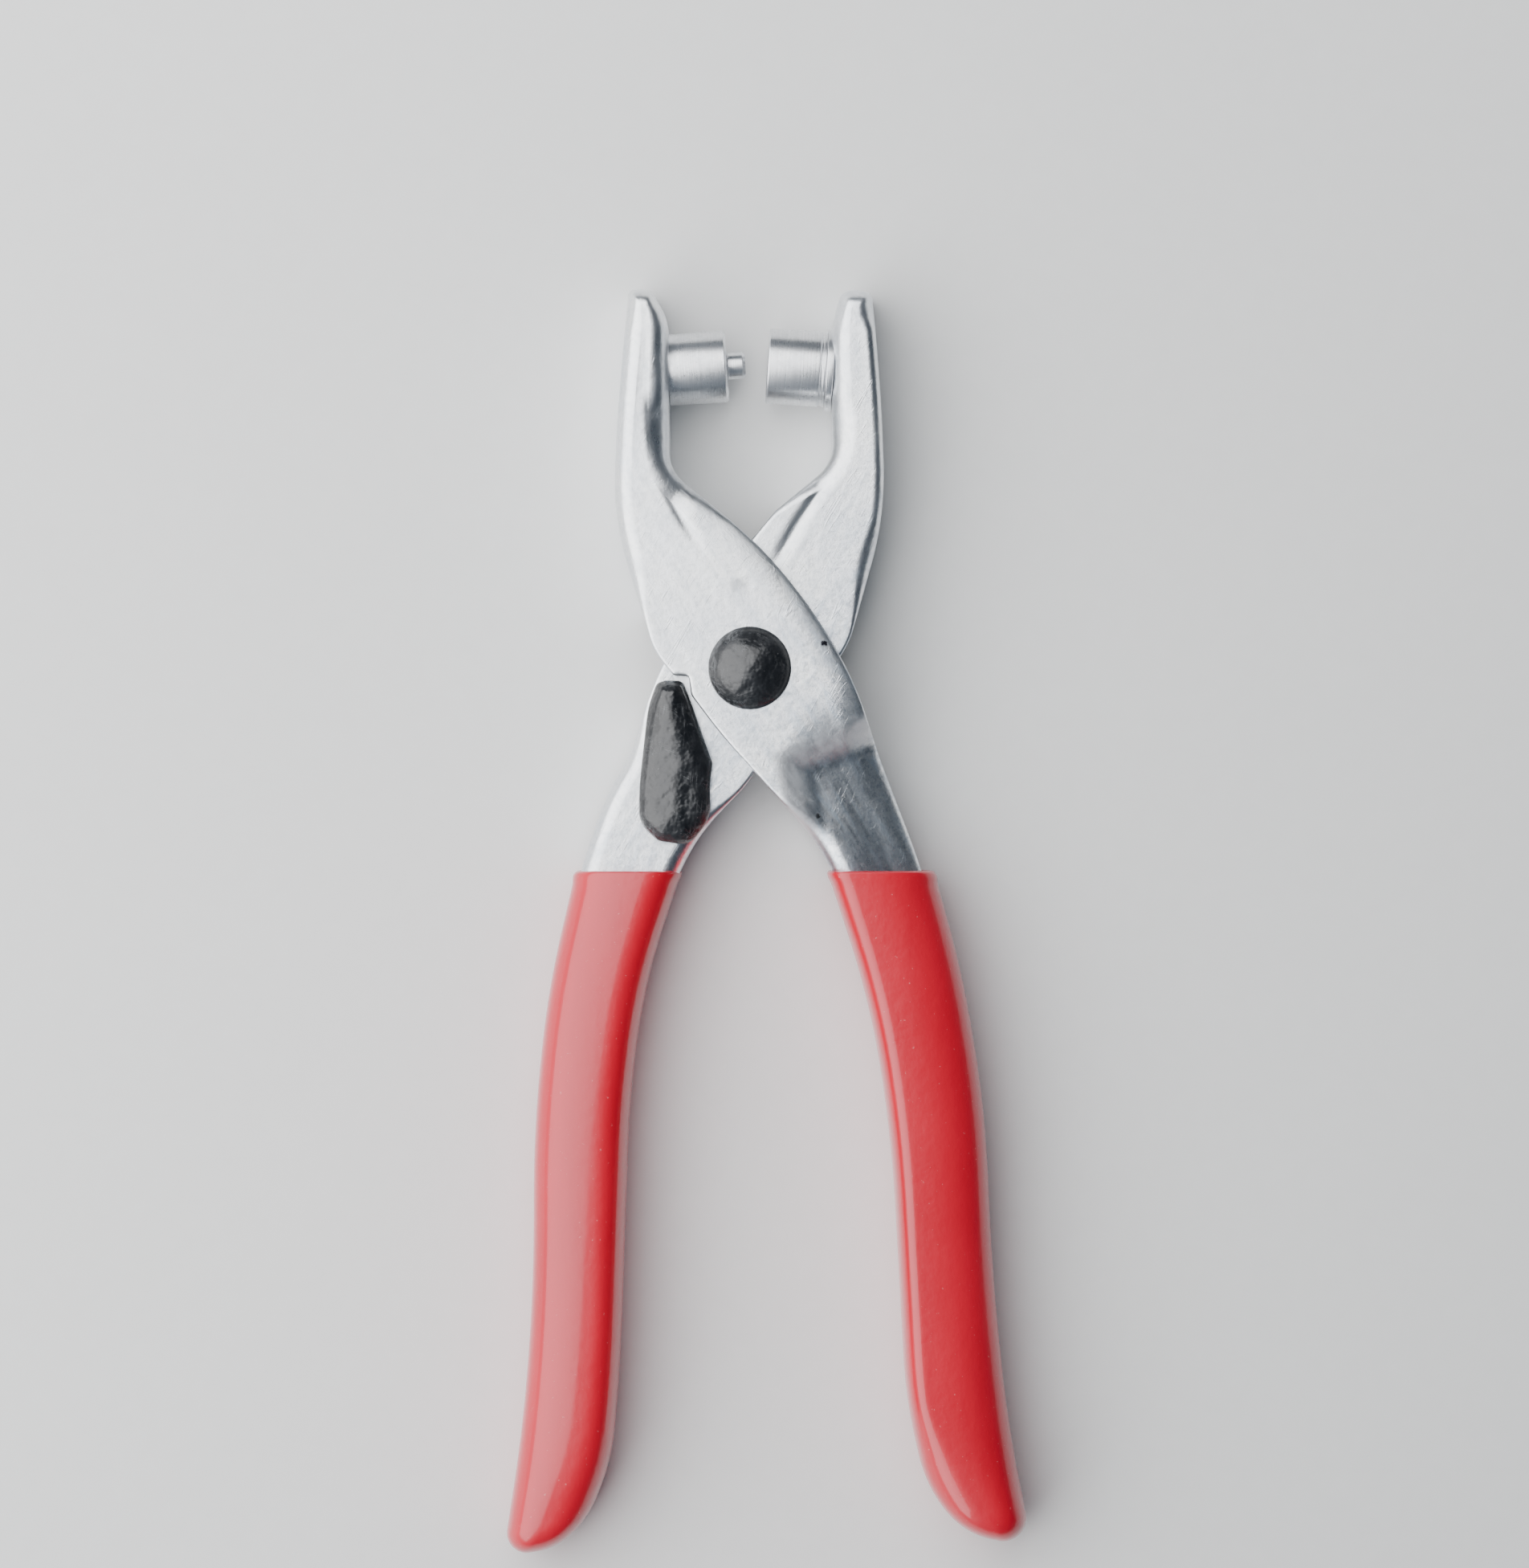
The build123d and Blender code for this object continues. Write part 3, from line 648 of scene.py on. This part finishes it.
dipped = red_vinyl("dipped_red_vinyl")
left_grip = dipped_sleeve([
    (-20.75, -24), (-24, -38), (-25.7, -54), (-25.8, -74), (-27, -90), (-29.4, -105.6, 2.9), (-22.9, -104.6),
    (-19.2, -101), (-16.4, -94), (-15.4, -82), (-14.85, -66), (-14.3, -50.5), (-12.4, -37), (-8.1, -24),
], 0.30)
right_grip = dipped_sleeve([
    (9.2, -24), (14.4, -40), (16.9, -56), (17.8, -72), (18.6, -87), (21, -97.3), (25.6, -103),
    (33.69, -104.4, 2.9), (30.8, -90), (29, -73), (28, -52), (25.4, -36.5), (22, -24),
], -0.58)
make_piece("left_grip_sleeve", left_grip, "rear_arm", ["left_grip"], dipped, 50)
make_piece("right_grip_sleeve", right_grip, "front_arm", ["right_grip"], dipped, 50)


# --- The pivot rivet and its washer ----------------------------------------------------------------------
# A solid steel rivet, blacked and lacquered, with a domed front head. Its flat tail is set over a plain
# washer behind the spring, and it holds both arms and the spring bush.

SEAT = FRONT_LEVEL + 0.05
DOME_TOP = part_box("pivot_rivet")[1].z / MM
HEAD_RADIUS = 4.9


def black_lacquer(name):
    """Gloss black lacquer over steel: soft ripples, hazy smudges, dust and a few hairlines."""
    finish = Finish(bpy.data.materials.new(name))
    haze = finish.noise(finish.place(), 0.28, 4.0, 0.6)
    ripple = finish.noise(finish.place(), 0.30, 3.0)
    fine = finish.noise(finish.place(), 4.0, 2.0)
    dust = finish.ramp(finish.noise(finish.place(), 2.8, 2.0, 0.6), (0.70, 0), (0.76, 1))
    scratches = finish.hairlines(0.4, 14, 1.2) + finish.hairlines(1.7, 18, 1.0)
    black = finish.mix(finish.ramp(haze, (0.4, 0), (0.75, 1)), (0.006, 0.007, 0.009), (0.020, 0.021, 0.024))
    black = finish.mix(dust * 0.4, black, (0.30, 0.30, 0.30))
    black = finish.mix(scratches * 0.35, black, (0.22, 0.23, 0.24))
    roughness = 0.20 + 0.24 * haze + 0.06 * fine + 0.2 * dust
    height = 42.0 * ripple + 0.4 * fine - 0.8 * scratches
    return finish.done(height, 0.6, Base_Color=black, Roughness=roughness,
                       Coat_Weight=0.8, Coat_Roughness=0.13)


HEAD_RIM = 0.3
dome_rise = DOME_TOP - SEAT - HEAD_RIM
ball = (HEAD_RADIUS ** 2 + dome_rise ** 2) / (2 * dome_rise)
sweep = math.asin(HEAD_RADIUS / ball) * np.linspace(1, 0, 18)
dome = [(DOME_TOP - ball + ball * math.cos(angle), ball * math.sin(angle)) for angle in sweep]
rivet = [
    (0, 0), (0, 3.9, 0.15), (0.4, 4.3, 0.2), (1.4, 4.3, 0.1), (1.4, 3.0, 0.1), (SEAT, 3.0, 0.05),
    (SEAT, HEAD_RADIUS, 0.08), *dome,
]
lacquer = black_lacquer("black_lacquered_steel")
make_piece("domed_pivot_rivet", [lathe(rivet, (0, 0, 0), (0, 0, 1), 96, 5)],
           "pivot_rivet", ["pivot_rivet"], lacquer, 30)
drawn_steel = turned_steel("drawn_spring_steel", (0.52, 0.54, 0.57), 0.24)
plain_washer = [(1.42, 3.05), (1.42, 4.8, 0.15), (2.0, 4.8, 0.15), (2.0, 3.05), (1.42, 3.05)]
make_piece("plain_pivot_washer", [lathe(plain_washer, (0, 0, 0), (0, 0, 1))],
           "pivot_rivet", ["pivot_washer"], drawn_steel, 30)


# --- The spring bush and the return spring -----------------------------------------------------------------
# The bush is cut from steel tube and spaces the rivet's tail off the arms. Round it sits a torsion spring of
# hard drawn wire, whose two straight legs press the handles apart.

WIRE = 0.75                     # radius
LEG_WIRE = 0.70
COIL = 4.9
PITCH = 1.55
LEG_END = (17.0, -22.5)
COIL_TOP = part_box("rear_arm")[1].z / MM - SHEET - 0.15 - WIRE

bush = [
    (2.05, 3.05), (2.05, 3.75, 0.1), (2.2, 3.9, 0.1), (6.03, 3.9, 0.1), (6.18, 3.75, 0.1), (6.18, 3.05),
    (2.05, 3.05),
]
make_piece("spring_spacer_bush", [lathe(bush, (0, 0, 0), (0, 0, 1))],
           "rear_arm", ["spring_bush"], drawn_steel, 30)


def wire_along(path, radius):
    """A round wire: each point of the path plus radius times a turning spoke, square to the path. The ends
    are rounded over: the last rings stand out by up to half the radius, while their own radius closes as a
    quarter circle. The marks grow along the wire, and round it to the far side and back."""
    tangent = unit(np.gradient(path, axis=0))
    flat = unit(np.cross(tangent, (0, 0, 1)))
    rise = np.cross(flat, tangent)
    turn = np.linspace(0, math.pi / 2, 5)
    reach = radius * np.concatenate([-np.cos(turn), np.cos(turn)[::-1]]) * 0.5
    end = np.concatenate([np.zeros(5, int), np.full(5, len(path) - 1)])
    middle = np.arange(1, len(path) - 1)
    order = np.concatenate([end[:5], middle, end[5:]])
    thick = np.concatenate([np.sin(turn), np.ones(len(middle)), np.sin(turn)[::-1]])
    push = np.concatenate([reach[:5], np.zeros(len(middle)), reach[5:]])
    centre = path[order] + tangent[order] * push[:, None]
    angle = np.linspace(0, 2 * math.pi, 21)
    spoke = np.cos(angle)[:, None, None] * flat[order] + np.sin(angle)[:, None, None] * rise[order]
    grid = centre + spoke * (radius * thick)[:, None]
    walked = np.concatenate([[0], np.cumsum(np.linalg.norm(np.diff(centre, axis=0), axis=1))])
    marks = np.zeros(grid.shape)
    marks[..., 0] = 0.06 * walked
    marks[..., 1] = 2.0 * np.abs(angle - math.pi)[:, None] / math.pi
    return grid, {"turned": marks}


def coil_point(angle, height):
    """Points on the coil's cylinder, one for each angle and height."""
    return np.stack([COIL * np.cos(angle), COIL * np.sin(angle), height], axis=-1)


leg_reach = math.hypot(*LEG_END)
first_angle = math.acos(COIL / leg_reach) - math.atan2(-LEG_END[1], LEG_END[0])
coil_turn = 3 * math.pi - 2 * first_angle
coil_rise = PITCH * coil_turn / (2 * math.pi)
coil_low = COIL_TOP - coil_rise
steps = np.linspace(0, 1, 150)
coil = coil_point(first_angle + steps * coil_turn, coil_low + steps * coil_rise)
left_end = np.array([-LEG_END[0], LEG_END[1], COIL_TOP])
right_end = np.array([LEG_END[0], LEG_END[1], coil_low])
left_leg = coil[-1] + (left_end - coil[-1]) * np.linspace(0, 1, 40)[1:, None]
back_off = np.linspace(1, 0, 14)
overlap = coil_point(first_angle + 0.5 * back_off, coil_low + 0.08 * back_off)
right_leg = overlap[-1] + (right_end - overlap[-1]) * np.linspace(0, 1, 40)[1:, None]
make_piece("return_spring_coil_and_left_leg", [wire_along(np.concatenate([coil, left_leg]), WIRE)],
           "rear_arm", ["return_spring"], drawn_steel, 60)
make_piece("return_spring_right_leg", [wire_along(np.concatenate([overlap, right_leg]), LEG_WIRE)],
           "front_arm", ["return_spring"], drawn_steel, 60)


# --- The latch: its rivet, wave washer and lever -----------------------------------------------------------
# A cast lever in gloss black swings on a collared rivet through the rear arm. The wave washer under it keeps
# it stiff. Its top hooks under the ledge of the front arm and holds the handles closed.

LATCH_PIVOT = (-8.8, -16.0, 0.0)
LATCH_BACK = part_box("latch_lever")[0].z / MM
LATCH_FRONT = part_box("latch_lever")[1].z / MM

tail = [
    (5.35, 0), (5.35, 2.1, 0.15), (5.6, 2.4, 0.15), (6.15, 2.4, 0.1), (6.15, 1.5, 0.05), (9.0, 1.5, 0.05),
    (9.0, 2.2, 0.1), (9.6, 2.2, 0.1), (9.6, 0),
]
make_piece("latch_pivot_rivet", [lathe(tail, LATCH_PIVOT, (0, 0, 1), 48)],
           "latch_rivet", ["latch_rivet"], drawn_steel, 30)
WAVES = 3
WAVE_HEIGHT = 0.04
flat_ring = [(7.81, 1.56), (7.81, 3.2, 0.05), (8.02, 3.2, 0.05), (8.02, 1.56), (7.81, 1.56)]
wave_ring, wave_marks = lathe(flat_ring, LATCH_PIVOT, (0, 0, 1), 72)
round_ring = np.linspace(0, 2 * math.pi, wave_ring.shape[1])
wave_ring[..., 2] += WAVE_HEIGHT + WAVE_HEIGHT * np.cos(WAVES * round_ring)
make_piece("latch_wave_washer", [(wave_ring, wave_marks)],
           "rear_arm", ["latch_washer"], drawn_steel, 30)


def domed_half(edge, middle):
    """One side of the lever, from the middle of its top out to the edge, down and back under. Its top is
    crowned, and falls away over the last rolled millimetres as a quarter of an ellipse. Its back is flat."""
    width = np.linalg.norm(edge - middle, axis=1)
    rolled, fallen, crown = np.minimum(2.4, width), 1.9, 1.0
    back_round = 0.2
    rows = []
    for share in np.sin(np.linspace(0, math.pi / 2, 26)):
        from_edge = width * (1 - share)
        lean = np.clip(1 - from_edge / rolled, 0, 1)
        z = LATCH_FRONT - crown * share ** 2 - (fallen - crown) * (1 - np.sqrt(1 - lean ** 2))
        rows.append(np.column_stack([middle + (edge - middle) * share, z]))
    for z in (LATCH_BACK + 0.7, LATCH_BACK + back_round):
        rows.append(np.column_stack([edge, np.full(len(edge), z)]))
    for share in (1.0, 0.5, 0.0):
        inner = edge + (middle - edge) * np.minimum(back_round / width, 1)[:, None]
        rows.append(np.column_stack([middle + (inner - middle) * share, np.full(len(edge), LATCH_BACK)]))
    return np.stack(rows), {}


lever_stations = [(-2.6, 18), (-6, 16), (-12, 26), (-19, 34), (-21, 22)]
lever_left = side(route([
    (-10.0, -1.45), (-11.0, -1.8, 1.0), (-12.0, -4.6), (-12.4, -8.0), (-13.1, -14.5), (-13.1, -18.3),
    (-10.9, -20.4, 2.0), (-8.6, -20.75),
]), lever_stations)
lever_right = side(route([
    (-10.0, -1.45), (-7.9, -1.5, 1.0), (-6.65, -4.8), (-4.4, -11.2, 1.0), (-4.75, -14.0), (-4.55, -17.8),
    (-7.0, -20.7, 2.5), (-8.6, -20.75),
]), lever_stations)
lever_middle = middle_line(lever_left, lever_right, (2.0, 3.6))
lever = [domed_half(edge, lever_middle) for edge in (lever_left, lever_right)]
make_piece("latch_lever_casting", lever, "latch_lever", ["latch_lever"], lacquer, 50)


# --- Camera, light and floor -----------------------------------------------------------------------------
# The tool lies on a pale table, seen straight from above. A large soft box hangs to the left, and the room is
# bright to the left and dark to the right, so that steel, lacquer and vinyl shade from bright to dark across
# the tool.

AIM = (0.00176, -0.0137, 0.006)         # in metres, like the sizes below
FRAME_HEIGHT = 0.1861           # how much of the table the picture takes in from top to bottom
camera = bpy.data.cameras.new("camera")
camera.lens = 120
camera.sensor_width = 36
camera.clip_end = 20
eye = bpy.data.objects.new("camera", camera)
eye.location = (AIM[0], AIM[1], AIM[2] + FRAME_HEIGHT * camera.lens / camera.sensor_width)
bpy.context.scene.collection.objects.link(eye)
bpy.context.scene.camera = eye

BOX_TURN = math.radians(-31)
BOX_SIZE = (1.5, 1.7)
BOX_HEIGHT = 0.45
BOX_PAST_PIVOT = 0.012          # how far the box's right edge lies beyond the pivot
BOX_SLIDE = -0.40               # how far the box is slid along that edge
box = bpy.data.lights.new("overhead_box", "AREA")
box.shape = "RECTANGLE"
box.size, box.size_y = BOX_SIZE
box.energy = 26.0
box_reach = 0.5 * BOX_SIZE[0] - BOX_PAST_PIVOT
lamp = bpy.data.objects.new("overhead_box", box)
lamp.location = (
    -box_reach * math.cos(BOX_TURN) - BOX_SLIDE * math.sin(BOX_TURN),
    -box_reach * math.sin(BOX_TURN) + BOX_SLIDE * math.cos(BOX_TURN),
    BOX_HEIGHT,
)
lamp.rotation_euler = (0, 0, BOX_TURN)
lamp.visible_camera = False
bpy.context.scene.collection.objects.link(lamp)
studio = Finish(bpy.data.worlds.new("studio"))
bpy.context.scene.world = studio.owner
BRIGHT_WALL = (-0.95, -0.16, 0.30)
facing = studio.towards(studio.node("TexCoord", out="Generated"), BRIGHT_WALL)
glow = studio.ramp(facing * 0.5 + 0.5, (0.40, 0.10), (0.62, 0.25), (0.95, 0.9))
tint = studio.mix(glow, (0.40, 0.55, 0.74), (1.0, 1.0, 1.0))
walls = studio.node("Background", {}, {"Color": tint, "Strength": glow})
studio.node("OutputWorld", {}, {"Surface": walls})

table = Finish(bpy.data.materials.new("pale_table"))
table_grain = table.noise(table.place(), 0.4, 4.0)
table_colour = table.mix(table_grain, (0.80, 0.80, 0.79), (0.84, 0.84, 0.83))
pale = table.done(table_grain, 0.05, Base_Color=table_colour, Roughness=0.6)
TABLE_REACH = 3.0
TABLE_GAP = 0.05 * MM
table_height = cad_low.z - TABLE_GAP
around = ((-1, -1), (1, -1), (1, 1), (-1, 1))
corners = [(x * TABLE_REACH, y * TABLE_REACH, table_height) for x, y in around]
table_mesh = bpy.data.meshes.new("table")
table_mesh.from_pydata(corners, [], [(0, 1, 2, 3)])
table_mesh.materials.append(pale)
table_top = bpy.data.objects.new("table", table_mesh)
bpy.context.scene.collection.objects.link(table_top)
